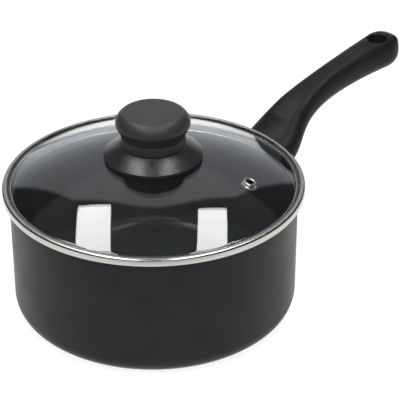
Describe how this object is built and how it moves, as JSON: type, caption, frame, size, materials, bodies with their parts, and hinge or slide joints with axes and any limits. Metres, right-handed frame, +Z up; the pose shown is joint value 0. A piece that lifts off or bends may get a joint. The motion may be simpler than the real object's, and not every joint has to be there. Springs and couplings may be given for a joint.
{
  "type": "saucepan with glass lid",
  "caption": "Non-stick saucepan with a curved phenolic handle and a domed, steel-rimmed glass lid with a knob that lifts off.",
  "frame": {"origin": "middle of the pan's base, on the surface that it stands on", "axes": "+Z up along the pan's axis, +X along the long handle"},
  "size_m": [0.3606, 0.212, 0.1506],
  "materials": {
    "nonstick_coating": "aluminium with a satin dark charcoal non-stick coating",
    "base_steel": "turned steel disc",
    "bare_aluminium": "as cast",
    "polished_steel": "polished stainless steel",
    "handle_phenolic": "matt black moulded phenolic",
    "fastener_steel": "zinc plated",
    "tempered_glass": "clear tempered glass",
    "knob_phenolic": "smooth satin black moulded phenolic",
    "brass": "turned",
    "skirt_phenolic": "finely grained black phenolic",
    "silicone": "soft black silicone"
  },
  "bodies": {
    "pan": {"pan_body": "nonstick_coating", "base_disc": "base_steel", "handle_boss": "bare_aluminium", "flame_guard": "polished_steel", "handle_grip": "handle_phenolic", "handle_screw": "fastener_steel", "handle_lock_washer": "fastener_steel"},
    "lid": {"lid_glass": "tempered_glass", "lid_rim_band": "polished_steel", "vent_eyelet": "polished_steel", "vent_backing_ring": "fastener_steel", "knob_grip": "knob_phenolic", "knob_insert": "brass", "knob_skirt": "skirt_phenolic", "knob_gasket_upper": "silicone", "knob_gasket_lower": "silicone", "knob_washer": "fastener_steel", "knob_lock_washer": "fastener_steel", "knob_screw": "fastener_steel"}
  },
  "joints": [
    {"name": "lid_lift", "type": "slide", "parent": "pan", "child": "lid", "axis": [0, 0, 1], "range_m": [0, 0.12]}
  ]
}
